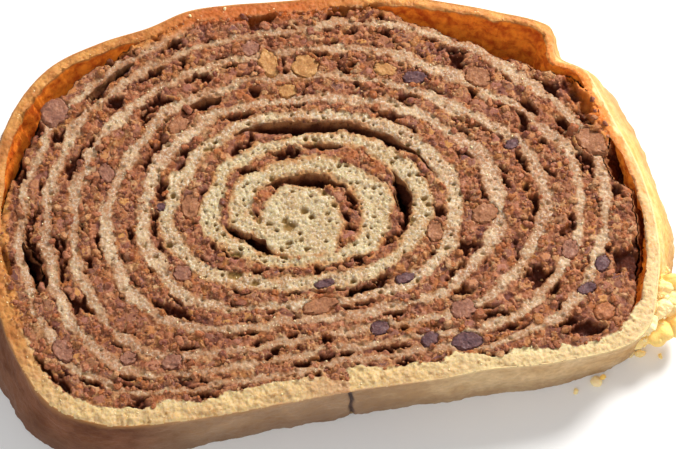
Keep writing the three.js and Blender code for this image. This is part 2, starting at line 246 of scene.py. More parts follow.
def layout(x, y):
    """What lies at a point of the upper face.

    Gives the distance into the dough (negative inside it), the distance into an opening
    (negative inside), the turn count, how wide the nearest opening is and the distance from the
    crust's outside.
    """
    angle, radius = to_polar(x, y)
    edge_in = outline(angle) - radius
    calm = ease(0.3, 4, edge_in)
    wobble_x = noises(x, y, (0.8, 6.0, 3), (0.35, 2.1, 4))
    wobble_y = noises(x, y, (0.8, 6.0, 5), (0.35, 2.1, 6))
    angle, radius = to_polar(x + wobble_x * calm, y + wobble_y * calm)
    share = np.mod((180.0 - angle) / 360.0, 1.0)
    ragged = noises(x, y, (0.3, 0.8, 8), (0.38, 2.2, 9), (0.36, 6.0, 10))
    turns = [share + k for k in range(-1, 9)]
    edges = [sheet(turn) for turn in turns]
    exists = [(turn >= SHEET_START) & (turn <= SHEET_END) for turn in turns]
    dough = np.full(x.shape, 99.0)
    turn_at = np.zeros(x.shape)
    for turn, (inner, outer), real in zip(turns, edges, exists):
        welded = (turn > FREE_TURNS + 0.03) & (turn < BASE_TURN)
        outer = np.where(welded, outline(angle), outer)
        half = (outer - inner) / 2
        blunt = np.sqrt(np.clip((turn - SHEET_START) / 0.035, 0.0, 1.0))
        away = np.where(real, np.abs(radius - (inner + outer) / 2) - half * blunt, 99.0)
        nearer = away < dough
        dough = np.where(nearer, away, dough)
        turn_at = np.where(nearer, np.where(welded, turn + 1.0, turn), turn_at)
    core = through(CORE, np.mod(angle, 360.0) / 30.0, True)
    lump = radius - core
    turn_at = np.where(lump < dough, 0.0, turn_at)
    dough = np.minimum(dough, lump)
    bridge = np.hypot(x - MID_X - BRIDGE[0], y - MID_Y - BRIDGE[1]) - BRIDGE[2]
    dough = np.minimum(dough, bridge)
    opening = np.full(x.shape, 99.0)
    room = np.zeros(x.shape)
    ragged_low = noises(x, y, (0.35, 1.3, 12), (0.3, 3.5, 13))
    for k in range(1, 9):
        turn, outer, inner_next = turns[k], edges[k][1], edges[k + 1][0]
        full = filled(turn, OPENINGS)
        low = outer + full * (inner_next - outer)
        low = low + ragged_low * ease(0.3, 1.2, inner_next - low)
        gap = np.maximum(low - radius, radius - inner_next)
        gap = np.where(exists[k] & exists[k + 1] & (full < 0.98), gap, 99.0)
        room = np.where(gap < opening, inner_next - low, room)
        opening = np.minimum(opening, gap)
    full = filled(share, CORE_OPENINGS)
    low = core + full * (edges[1][0] - core)
    under_end = ease(0.85, 0.9, share)
    low = low * (1 - under_end) + core * under_end
    gap = np.maximum(np.maximum(low - radius, radius - edges[1][0]), -dough)
    gap = np.where((full < 0.98) | (share > 0.85), gap, 99.0)
    room = np.where(gap < opening, edges[1][0] - low, room)
    opening = np.minimum(opening, gap)
    ragged = ragged * (1.0 + 0.35 * ease(1.5, 3, turn_at) * (turn_at < 7.2))
    ragged = ragged - 0.6 * ease(7.7, 7.76, turn_at) * ease(7.97, 7.9, turn_at)
    beside = ease(0.5, 0.9, np.abs(np.cos(np.radians(angle))))
    ragged = ragged - 0.22 * beside * (turn_at > 1.8) * (turn_at < 6.8)
    return dough + ragged * (dough > -3), opening, turn_at, room, edge_in


def drawn_out(x, y, size, stretch, seed):
    """Noise whose lumps are stretched along the turns of the roll."""
    angle, radius = to_polar(x, y)
    out = radius / outline(angle) * 50.0
    far = ease(22, 36, out)
    back = ease(120, 160, np.abs(angle))
    total = np.zeros(x.shape)
    for turn, share in ((angle, 1.0 - back), (np.mod(angle, 360.0), back)):
        near_part = noise(out, np.radians(turn) * 20.0 / stretch, size, seed)
        far_part = noise(out, np.radians(turn) * 44.0 / stretch, size, seed + 1)
        total = total + share * (near_part * (1.0 - far) + far_part * far)
    return total


# ---- Meshes ----

def make_piece(name, points, faces, marks, material, smooth=True):
    """A piece from points in millimetres, with named values at its points."""
    mesh = bpy.data.meshes.new(name)
    used, faces = np.unique(faces, return_inverse=True)
    faces = faces.reshape(-1, 3).astype(np.int32)
    mesh.vertices.add(len(used))
    mesh.vertices.foreach_set("co", (points[used] * MM).astype(np.float32).ravel())
    mesh.loops.add(faces.size)
    mesh.loops.foreach_set("vertex_index", faces.ravel())
    mesh.polygons.add(len(faces))
    mesh.polygons.foreach_set("loop_start", np.arange(0, faces.size, 3, dtype=np.int32))
    mesh.polygons.foreach_set("loop_total", np.full(len(faces), 3, dtype=np.int32))
    mesh.polygons.foreach_set("use_smooth", np.full(len(faces), smooth))
    mesh.update(calc_edges=True)
    for mark, values in marks.items():
        layer = mesh.attributes.new(mark, "FLOAT", "POINT")
        layer.data.foreach_set("value", np.asarray(values)[used].astype(np.float32))
    mesh.materials.append(material)
    piece = bpy.data.objects.new(name, mesh)
    bpy.context.scene.collection.objects.link(piece)
    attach(piece, "root")
    return piece


def covering_grid(step, half_x, half_y, z, inset):
    """Evenly spaced points over the slice at height z, and the faces between them.

    Also gives how far each point lies inside the edge.
    """
    rise = step * math.sqrt(3) / 2
    across, up = int(2 * half_x / step), int(2 * half_y / rise)
    ix, iy = np.meshgrid(np.arange(across), np.arange(up))
    x = MID_X - half_x + (ix + 0.5 * (iy % 2)) * step
    y = MID_Y - half_y + iy * rise
    a = (iy * across + ix)[:-1, :-1]
    even = (iy[:-1, :-1] % 2) == 0
    b, c, d = a + 1, a + across, a + across + 1
    first = columns(a, b, np.where(even, c, d))
    second = columns(np.where(even, b, a), d, c)
    x, y = x.ravel(), y.ravel()
    faces = np.concatenate([first.reshape(-1, 3), second.reshape(-1, 3)])
    angle, radius = to_polar(x, y)
    gap = outline(angle) * widening(angle, z) - inset - radius
    near = gap > -2 * step
    number = np.cumsum(near) - 1
    return x[near], y[near], number[faces[near[faces].all(axis=1)]], gap[near]


def snapped(x, y, gap, reach):
    """Points moved outwards by their gap to the edge, where that is within reach."""
    move = np.where(np.abs(gap) < reach, gap, 0.0) / to_polar(x, y)[1]
    return x + move * (x - MID_X), y + move * (y - MID_Y)


def strips(first, second, rows, step):
    """Triangles between neighbours in each row of points and those in the next row."""
    faces = []
    for k in range(rows):
        a, b = first + k * step, second + k * step
        faces.append(columns(a, a + step, b + step))
        faces.append(columns(a, b + step, b))
    return np.concatenate(faces)


def ball(detail):
    """A round ball of radius 1: points and faces."""
    form = bmesh.new()
    bmesh.ops.create_icosphere(form, subdivisions=detail, radius=1.0)
    form.verts.ensure_lookup_table()
    points = np.array([v.co[:] for v in form.verts])
    faces = np.array([[v.index for v in f.verts] for f in form.faces])
    form.free()
    return points, faces


def merged(parts):
    """Several lots of points and faces as one."""
    starts = np.cumsum([0] + [len(points) for points, _ in parts[:-1]])
    moved = [faces + start for (_, faces), start in zip(parts, starts)]
    return np.concatenate([points for points, _ in parts]), np.concatenate(moved)


def turned(x, y, degrees):
    """Places turned about the origin."""
    cos, sin = math.cos(math.radians(degrees)), math.sin(math.radians(degrees))
    return x * cos - y * sin, x * sin + y * cos


def open_edges(faces):
    """Edges that only one triangle uses, in that triangle's order."""
    edges = np.concatenate([faces[:, [0, 1]], faces[:, [1, 2]], faces[:, [2, 0]]])
    low, high = edges.min(axis=1).astype(np.int64), edges.max(axis=1).astype(np.int64)
    key = low * (int(faces.max()) + 1) + high
    _, first, count = np.unique(key, return_index=True, return_counts=True)
    return edges[first[count == 1]]


# Pieces of walnut cut through on the face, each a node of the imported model: its name, its place
# from the spiral's middle, length, width, direction in degrees and kind.
NUTS = [
    ["nut_right_top", 56.2, 6.3, 7.4, 5.0, -50, "brown"],
    ["nut_right_middle", 33.5, -5.0, 5.6, 4.4, 10, "brown"],
    ["nut_top_round", 4.5, 30.1, 5.6, 5.2, 0, "pale"],
    ["nut_top_tall", -2.4, 31.8, 6.4, 4.2, 100, "pale"],
    ["nut_left_gap", -44.2, 27.7, 6.4, 5.4, 60, "mauve"],
    ["nut_left_inner", -21.2, 4.9, 5.6, 3.6, 75, "brown"],
    ["nut_left_upper", -21.3, 21.6, 5.0, 3.2, 30, "brown"],
    ["nut_top_dark", 25.1, 24.5, 5.2, 3.0, -12, "dark"],
    ["nut_top_flat", 19.6, 27.1, 5.0, 3.0, -20, "pale"],
    ["nut_right_shoulder", 37.1, 22.9, 5.6, 4.6, -30, "brown"],
    ["nut_low_right", 26.2, -23.1, 5.2, 4.2, 5, "mauve"],
    ["nut_base_right", 25.9, -29.3, 6.2, 3.8, 0, "dark"],
    ["nut_low_middle", 0.1, -18.4, 7.6, 3.4, 8, "brown"],
    ["nut_right_corner", 52.2, -27.5, 4.8, 3.8, 20, "amber"],
    ["nut_left_corner", -48.3, -19.8, 5.2, 3.6, -60, "mauve"],
]
# Smaller pieces, which aren't nodes, the same way but without a name.
SMALL_NUTS = [
    [-5.4, 35.4, 4.0, 3.4, 20, "mauve"], [23.6, -7.1, 4.8, 3.4, 80, "brown"],
    [-36.0, 14.0, 4.4, 3.0, 100, "mauve"], [48.0, -14.5, 4.4, 3.4, 70, "mauve"],
    [-24.4, -8.1, 3.9, 3.4, 0, "mauve"], [10.4, -24.4, 3.9, 3.2, 10, "dark"],
    [19.2, -27.9, 3.9, 3.0, 30, "dark"], [0.5, 25.4, 3.9, 3.2, 10, "pale"],
    [53.5, -18.2, 3.8, 2.8, 60, "dark"], [-28.5, -25.0, 4.3, 3.2, 20, "mauve"],
    [-36.5, -23.0, 3.4, 2.8, 0, "mauve"], [41.0, 8.0, 3.4, 2.2, 20, "dark"],
    [-26.6, 5.6, 1.9, 1.7, 0, "dark"], [16.6, -15.4, 4.4, 2.2, 5, "dark"],
    [1.6, -14.2, 4.4, 1.8, 5, "dark"], [49.8, -22.6, 4.2, 2.4, 10, "dark"],
]

# Large bubbles in the dough round the centre: place, length, width and direction.
BUBBLES = [
    [-14.0, -6.2, 2.6, 1.8, 10], [-14.7, -9.7, 3.4, 2.6, 20], [-3.3, -2.0, 3.2, 2.0, 15],
    [-0.1, 0.6, 1.7, 1.4, 0], [-8.8, -0.1, 1.5, 1.2, 0], [4.4, 3.6, 2.1, 1.6, -20],
    [19.5, -4.3, 1.7, 1.6, 0], [-8.4, -6.8, 1.3, 1.0, 0], [6.0, 8.0, 1.6, 1.0, -10],
    [-6.8, -11.3, 1.3, 1.0, 0], [-1.7, -5.1, 1.2, 1.0, 30], [7.9, 1.6, 1.2, 1.0, 60],
]


def inside_nut(x, y, nut):
    """Negative inside a nut's outline, in millimetres."""
    px, py, length, width, turn = nut
    along, aside = turned(x - MID_X - px, y - MID_Y - py, -turn)
    radius = np.hypot(along / (length / 2), aside / (width / 2))
    return (radius - 1.0) * width / 2


def beside_nuts(x, y):
    """Distance from the nearest nut's outline, negative inside it."""
    away = np.full(x.shape, 99.0)
    for *nut, _ in [row[1:] for row in NUTS] + SMALL_NUTS:
        away = np.minimum(away, inside_nut(x, y, nut))
    return away


def face_relief(x, y, dough, opening, turn_at, edge_in):
    """Height of the cut face and the values that colour it, from what layout gives."""
    angle, _ = to_polar(x, y)
    soft = ease(0.2, -0.2, dough)

    # The dough: pores, bubbles, and the flaky crumb of the base.
    bent_x = x + 0.3 * noise(x, y, 1.4, 25)
    bent_y = y + 0.3 * noise(x, y, 1.4, 26)
    near, _, tag, _ = cells(bent_x, bent_y, 0.8, 31)
    pore = ease(0.4, 0.1, near / (0.45 + 0.75 * tag)) * (tag > 0.3)
    near, _, tag, _ = cells(bent_x, 1.35 * bent_y, 1.9, 35)
    size = 0.14 + 0.34 * (np.maximum(tag - 0.55, 0.0) / 0.45) ** 2
    bubble = ease(size, size * 0.4, near) * (tag > 0.55) * ease(0.1, -0.5, dough)
    calm = 1.0 - 0.5 * ease(2, 4, turn_at)
    crumb = ease(7.5, 7.7, turn_at)
    dough_z = DOUGH_Z + noises(x, y, (0.2, 3.2, 21), (0.16, 1.1, 22), (0.15, 0.55, 23))
    dough_z -= (0.12 + 0.34 * pore + BUBBLE_DEPTH * bubble * (1 - crumb)) * calm
    flaky = 0.28 * noise(x, y, 1.5, 27) + 0.22 * np.abs(noise(x, y, 0.7, 28)) + 0.06
    torn = 0.35 + 0.65 * ease(-60, -100, angle) * (angle < 0)
    dough_z += flaky * crumb * torn
    for bubble_at in BUBBLES:
        bowl = ease(0.1, -0.5, inside_nut(bent_x, bent_y, bubble_at))
        dough_z -= BUBBLE_DEPTH * bowl
        bubble = np.maximum(bubble, bowl)

    # The filling: lumps, grains and flat cut pieces of nut, with pits between them.
    bent_x = x + 0.35 * noise(x, y, 1.1, 47)
    bent_y = y + 0.35 * noise(x, y, 1.1, 48)
    near, second, lump_tag, lump_tilt = cells(bent_x, bent_y, 1.5, 41)
    lump = ease(0, 0.25, second - near)
    near, second, grain_tag, grain_tilt = cells(bent_x, bent_y, 0.7, 45)
    grain = ease(0, 0.3, second - near)
    near, second, piece_tag, piece_tilt = cells(1.1 * bent_x, 1.3 * bent_y, 3.1, 49)
    piece = ease(0.56, 0.48, near / (0.55 + 0.45 * np.abs(2 * piece_tag - 1)))
    piece = piece * ease(0.06, 0.14, second - near) * (piece_tag > 0.45)
    piece = piece * ease(0.2, 0.6, dough)
    beside = ease(1.3, 0.3, dough)
    ground = drawn_out(x, y, 3.2, 1.7, 51) + 0.45 * drawn_out(x, y, 1.3, 1.5, 57) + 0.2 * beside
    ground += noises(x, y, (0.15, 0.8, 59), (0.3, 11.0, 53))
    pit = ease(0.2, 0.66, ground) * ease(0, 0.5, dough)
    by_nut = beside_nuts(x, y)
    pit = pit * ease(0.1, 1.1, by_nut)
    piece = piece * (1 - ease(0.3, 0.6, pit))
    coarse = 0.5 + 0.7 * ease(-0.35, 0.25, noise(x, y, 4.5, 55))
    paste = coarse * (lump * (0.4 * lump_tag + 0.5 * lump_tilt) - 0.15)
    paste += coarse * grain * (0.3 * grain_tag + 0.3 * grain_tilt)
    cut = 0.24 + 0.3 * piece_tilt + 0.08 * noise(x, y, 0.6, 58)
    filling_z = FILLING_Z + paste * (1 - piece) + cut * piece
    filling_z += 0.2 * noise(x, y, 4.0, 52) - PIT_DEPTH * pit
    # Painted shade: how far each point of the filling is darkened, a little between lumps and most in
    # the pits.
    hollow = np.clip(1.0 - lump * (0.4 + 0.6 * lump_tag) - 0.2 * grain, 0.0, 1.0)
    hollow = 0.4 * coarse * hollow * (1 - piece) + 0.95 * pit

    z = filling_z * (1 - soft) + dough_z * soft
    z = np.where(by_nut < -0.1 + 0.25 * noise(x, y, 1.6, 54), np.minimum(z, LOW_Z), z)
    lip = ease(0.7, 0, opening)
    z = z - 0.25 * lip - rim_drop(angle) * ease(2.4, 0, edge_in) ** 1.5
    joined = ease(0.8, 0, edge_in)
    z = z * (1 - joined) + (EDGE_Z - rim_drop(angle)) * joined
    marks = {
        "dough": soft,
        "turn": turn_at,
        "lump": lump_tag,
        "grain": grain_tag,
        # Painted shade in the filling's hollows and in the dough's pores and bubbles.
        "hollow": np.clip(hollow * (1 - soft) + (0.45 * pore + bubble) * calm * soft, 0.0, 1.5),
        "stain": ease(-0.85, 0.1, dough),
        "piece": piece * (0.25 + 0.75 * (piece_tag - 0.45) / 0.55) * (1 - soft),
        "core": ease(-1.35, -0.05, dough),
        "edge": edge_in,
        "inner": np.zeros_like(x),
        "deep": np.zeros_like(x),
        "around": angle,
    }
    return np.minimum(z, SLICE), marks


def with_neighbours(values, ends):
    """Each point's value plus the values at the other ends of its edges."""
    total = values.copy()
    np.add.at(total, ends[:, 0], values[ends[:, 1]])
    np.add.at(total, ends[:, 1], values[ends[:, 0]])
    return total


def build_upper_face():
    """The cut face with its openings, and the walls of the openings.

    Gives points, faces, which faces are dough and the marks, first for the face.
    """
    x, y, faces, _ = covering_grid(CELL, 71.0, 49.0, SLICE, 0.0)
    x = x + 0.18 * CELL * (2 * rng.random(x.size) - 1)
    y = y + 0.18 * CELL * (2 * rng.random(y.size) - 1)

    # Points close to an opening's edge or to the outline are moved onto it.
    _, opening, _, _, _ = layout(x, y)
    nudge = 0.02
    slope_x = (layout(x + nudge, y)[1] - opening) / nudge
    slope_y = (layout(x, y + nudge)[1] - opening) / nudge
    steep = np.maximum(slope_x ** 2 + slope_y ** 2, 0.3)
    move = np.where(np.abs(opening) < 0.55 * CELL, -opening / steep, 0.0)
    move = np.clip(move, -0.6 * CELL, 0.6 * CELL)
    x, y = x + move * slope_x, y + move * slope_y
    angle, radius = to_polar(x, y)
    x, y = snapped(x, y, outline(angle) - radius, 0.6 * CELL)

    dough, opening, turn_at, room, edge_in = layout(x, y)
    z, marks = face_relief(x, y, dough, opening, turn_at, edge_in)
    middle_open = opening[faces].mean(axis=1)
    middle_edge = edge_in[faces].mean(axis=1)
    faces = faces[(middle_open > 0) & (middle_edge > 0.02)]
    soft = marks["dough"][faces].mean(axis=1) > 0.5
    points = columns(x, y, z)

    # Walls of the openings.
    edges = open_edges(faces)
    edges = edges[(edge_in[edges] > 0.35).all(axis=1)]
    tops, ends = np.unique(edges, return_inverse=True)
    ends = ends.reshape(-1, 2)
    count = len(tops)
    levels = 18
    angle, radius = to_polar(x[tops], y[tops])
    away_x, away_y = x[tops] - MID_X, y[tops] - MID_Y
    vote = np.sign(slope_x[tops] * away_x + slope_y[tops] * away_y)
    for _ in range(12):
        vote = with_neighbours(vote, ends) / 3
    outer_side = ease(-0.1, 0.35, vote)
    space = np.clip(room[tops], 0.0, 8.0)
    number = with_neighbours(np.ones(count), ends)
    for _ in range(6):
        space = with_neighbours(space, ends) / number
    rows = []
    for k in range(levels + 1):
        t = k / levels
        height = z[tops] * (1 - t) + WALL_FOOT_Z * t
        sway = ease(0, 2, z[tops] - height)
        bump = 0.55 * noise(x[tops] + 0.9 * height, y[tops] + 1.3 * height, 2.4, 61)
        bump += 0.3 * noise(x[tops] - 1.1 * height, y[tops] + 0.8 * height, 0.9, 62)
        wide = widening(angle, height)
        lean = outer_side * np.minimum(0.3 * (z[tops] - height), 0.7 * space) / radius
        px = MID_X + away_x * (wide - lean) + bump * sway * slope_x[tops]
        py = MID_Y + away_y * (wide - lean) + bump * sway * slope_y[tops]
        rows.append(columns(px, py, height))
    wall_points = np.concatenate(rows)
    wall = []
    for k in range(levels):
        a, b = ends[:, 0] + k * count, ends[:, 1] + k * count
        wall.append(columns(b, a, a + count))
        wall.append(columns(b, a + count, b + count))
    wall = np.concatenate(wall)
    wall_marks = {name: np.tile(values[tops], levels + 1) for name, values in marks.items()}
    depth = np.repeat(np.arange(levels + 1) / levels, count)
    wall_marks["inner"] = ease(0, 0.05, depth)
    wall_marks["deep"] = depth * SLICE
    wall_marks["dough"] = np.tile(outer_side, levels + 1)
    wall_marks["hollow"] = wall_marks["hollow"] * (1 - wall_marks["inner"])
    wall_soft = np.concatenate([(outer_side[ends] > 0.5).any(axis=1)] * (2 * levels))
    return points, faces, soft, marks, wall_points, wall, wall_soft, wall_marks


def build_crust_wall():
    """The browned outside of the slice, from the upper cut edge to the lower one."""
    step = 0.33
    fine = np.linspace(0.0, 360.0, 7201)
    radius = outline(fine)
    px, py = radius * np.cos(np.radians(fine)), radius * np.sin(np.radians(fine))
    run = np.concatenate([[0.0], np.cumsum(np.hypot(np.diff(px), np.diff(py)))])
    count = int(run[-1] / step)
    along = np.arange(count + 1) * run[-1] / count
    closing = ease(run[-1] - 12.0, run[-1], along)
    angle = np.interp(along, run, fine)
    levels = int(SLICE / step)
    top = EDGE_Z - rim_drop(angle)
    heights = [top - 0.3, top + 0.02]
    insets = [0.7, 0.22]
    heights += [top * (1 - k / levels) for k in range(levels + 1)] + [0 * top + 0.05]
    insets += [0.0] * (levels + 1) + [0.8]
    rows = []
    bake = []
    for height, inset in zip(heights, insets):
        lump = 0.0
        for place, share in ((along, 1.0 - closing), (along - run[-1], closing)):
            lump += share * noises(place, height, (0.42, 5.5, 71), (0.2, 1.6, 72), (0.1, 0.7, 73))
        fade = ease(0, 1.6, top - height)
        seam = np.abs(angle - (275.2 + 0.25 * np.sin(height * 0.9)))
        crease = 0.9 * ease(1.1, 0.1, seam) * ease(0.2, 1.5, SLICE - height)
        lifted = height + (SLICE - top) * ease(2.5, 0, top - height)
        r = outline(angle) * widening(angle, lifted) - inset + lump * fade - crease
        rows.append(columns(MID_X + r * np.cos(np.radians(angle)),
                            MID_Y + r * np.sin(np.radians(angle)), np.maximum(height, 0.0)))
        bake.append(columns(angle, height, crease, top - height))
    points = np.concatenate(rows)
    bake = np.concatenate(bake)
    here = np.arange(count)
    marks = {"around": bake[:, 0], "height": bake[:, 1], "seam": bake[:, 2], "below": bake[:, 3]}
    return points, strips(here, here + 1, len(heights) - 1, count + 1), marks


def build_underside():
    """The lower cut face, and the floor of each opening."""
    x, y, faces, gap = covering_grid(UNDER_CELL, 76.0, 54.0, 0.0, 0.4)
    wide = widening(to_polar(x, y)[0], 0.0)
    x, y = snapped(x, y, gap, 0.6 * UNDER_CELL)
    face_x = MID_X + (x - MID_X) / wide
    face_y = MID_Y + (y - MID_Y) / wide
    dough, opening, turn_at, _, edge_in = layout(face_x, face_y)
    _, marks = face_relief(face_x, face_y, dough, opening, turn_at, edge_in)
    hole = ease(0.1, -0.5, opening)
    rough = 0.25 + 0.25 * noise(x, y, 2.2, 81)
    z = 0.02 + 0.5 * rough * (1 - marks["dough"]) + hole * (0.7 + 0.9 * rough)
    z = np.maximum(z + 0.1 * noise(x, y, 6.0, 82), 0.02)
    faces = faces[gap[faces].mean(axis=1) > 0.02][:, ::-1]
    marks["dough"] = marks["dough"] * (1 - hole) + hole * (turn_at > 7.2)
    # The floor of each opening takes the colour of the opening walls at full depth: their darkest
    # painted shade, or the painted glow under the crust.
    marks["inner"] = hole
    marks["deep"] = hole * SLICE
    points = columns(x, y, z)
    soft = marks["dough"][faces].mean(axis=1) > 0.5
    return points, faces, soft, marks


def lumpy_nut(nut, index, flat_top):
    """A rounded piece of walnut cut flat by the face: points and faces."""
    px, py, length, width, turn = nut
    around, rings = ((44, 26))
    u = np.arange(around) * 2 * np.pi / around
    sides = 5 + index % 3
    part = np.mod(u + 1.7 * index, 2 * np.pi / sides) - np.pi / sides
    corners = 0.55 + 0.48 * math.cos(np.pi / sides) / np.cos(part)
    points = []
    for k in range(rings + 1):
        v = np.pi * k / rings
        ring_r, ring_z = max(math.sin(v), 0.0) ** 0.7, math.cos(v)
        lump = corners + 0.26 * noise(2.2 * np.cos(u) + 9 * index, 2.2 * np.sin(u) + 3 * ring_z, 1, 91)
        lump += 0.11 * noise(6 * np.cos(u) + 5 * index, 6 * np.sin(u) + 8 * ring_z, 1.0, 92)
        along = length / 2 * ring_r * lump * np.cos(u)
        aside = width / 2 * ring_r * lump * np.sin(u)
        depth = np.full(around, NUT_HALF_HEIGHT * ring_z)
        points.append(columns(along, aside, depth))
    points = np.concatenate(points)
    _, _, tag, tilt = cells(points[:, 0] + 7.0 * index, points[:, 1], 2.1, 93)
    top = flat_top + 0.14 * (tag - 0.5) + 0.22 * tilt - 0.06
    top += 0.08 * noise(points[:, 0] + 7.0 * index, points[:, 1], 0.7, 94)
    height = points[:, 2] + NUT_MIDDLE_Z
    blend = ease(-0.25, 0.25, height - top)
    points[:, 2] = np.minimum(height * (1 - blend) + top * blend, SLICE + 0.12)
    x, y = turned(points[:, 0], points[:, 1], turn)
    points = columns(MID_X + px + x, MID_Y + py + y, points[:, 2])
    here = np.arange(around)
    return points, strips(here, (here + 1) % around, rings, around)


def rough_balls(places, sizes, detail):
    """Irregular crumbs at places: points, faces and each point's crumb number."""
    way, faces = ball(detail)
    count = len(sizes)
    bent = 1 + 0.42 * (rng.random((count, len(way))) - 0.5)
    bent = bent + 0.35 * np.abs(rng.standard_normal((count, 3)) @ way.T) - 0.3
    stretch = 0.65 + 0.6 * rng.random((count, 1, 3))
    points = way[None] * bent[:, :, None] * stretch * np.asarray(sizes)[:, None, None]
    turn, tip = rng.random(count) * 2 * np.pi, rng.random(count) * np.pi
    x = points[:, :, 0] * np.cos(turn)[:, None] - points[:, :, 1] * np.sin(turn)[:, None]
    y = points[:, :, 0] * np.sin(turn)[:, None] + points[:, :, 1] * np.cos(turn)[:, None]
    z = points[:, :, 2] * np.cos(tip)[:, None] - y * np.sin(tip)[:, None]
    y = points[:, :, 2] * np.sin(tip)[:, None] + y * np.cos(tip)[:, None]
    points = columns(x, y, z) + np.asarray(places)[:, None, :]
    faces = faces[None] + (np.arange(count) * len(way))[:, None, None]
    return points.reshape(-1, 3), faces.reshape(-1, 3), np.repeat(np.arange(count), len(way))


def torn_lump(place, sizes, turn, crumbly, index):
    """An uneven lump of torn crust, smooth or crumbly: points and faces."""
    way, faces = ball(5)
    a, b = way[:, 0] + 0.6 * way[:, 2] + 7.0 * index, way[:, 1] - 0.8 * way[:, 2] + 3.0 * index
    bent = 1 + noises(a, b, (0.35, 0.9, 95), (0.12 * crumbly, 0.35, 96), (0.07 * crumbly, 0.12, 97),
                      (0.015, 0.05, 98))
    points = way * bent[:, None] * np.array(sizes)
    x, y = turned(points[:, 0], points[:, 1], turn)
    return columns(x, y, points[:, 2]) + np.array(place), faces


def scattered_crumbs(count, smallest, largest, detail, on_dough):
    """Crumbs lying in the filling or on the dough of the cut face."""
    x = MID_X + 69.0 * (2 * rng.random(count * 3) - 1)
    y = MID_Y + 47.0 * (2 * rng.random(count * 3) - 1)
    size = smallest + (largest - smallest) * rng.random(x.size) ** 2.2
    dough, opening, turn_at, _, edge_in = layout(x, y)
    z, _ = face_relief(x, y, dough, opening, turn_at, edge_in)
    fits = (opening > 0.3 + size) & (edge_in > 1.2)
    fits &= (dough < -0.1) if on_dough else (dough > 0.3 * size - 0.25)
    fits &= on_dough | (z > LOW_Z - 1.6 * (rng.random(x.size) < 0.15))
    fits &= beside_nuts(x, y) > -0.35 * size
    chosen = np.flatnonzero(fits)[:count]
    x, y, z, size = x[chosen], y[chosen], z[chosen], size[chosen]
    z = np.minimum(z + 0.25 * size, SLICE + 0.1 - 0.7 * size)
    points, faces, number = rough_balls(columns(x, y, z), size, detail)
    tags = {"lump": (0.15 if on_dough else 1.0) * rng.random(len(x))[number],
            "grain": rng.random(len(points))}
    return points, faces, tags


# ---- Materials ----

def linear(colour):
    """A display colour from 0 to 255 as the light values that the materials use."""
    values = [c / 255.0 for c in colour]
    return [c / 12.92 if c <= 0.04045 else ((c + 0.055) / 1.055) ** 2.4 for c in values] + [1.0]


class Value:
    """A number that a node gives. It can be added to, multiplied and taken from a number."""

    def __init__(self, looks, socket):
        self.looks = looks
        self.socket = socket

    def __add__(self, other):
        return self.looks.math("ADD", self, other)

    def __rsub__(self, other):
        return self.looks.math("SUBTRACT", other, self)

    def __mul__(self, other):
        return self.looks.math("MULTIPLY", self, other)

    def range(self, low, high, kind="SMOOTHSTEP"):
        """0 at low and 1 at high, with an even or a soft change between. Low may be the larger."""
        node = self.looks.node("MapRange", {"Value": self, "From Min": low, "From Max": high})
        node.interpolation_type = kind
        return Value(self.looks, node.outputs["Result"])


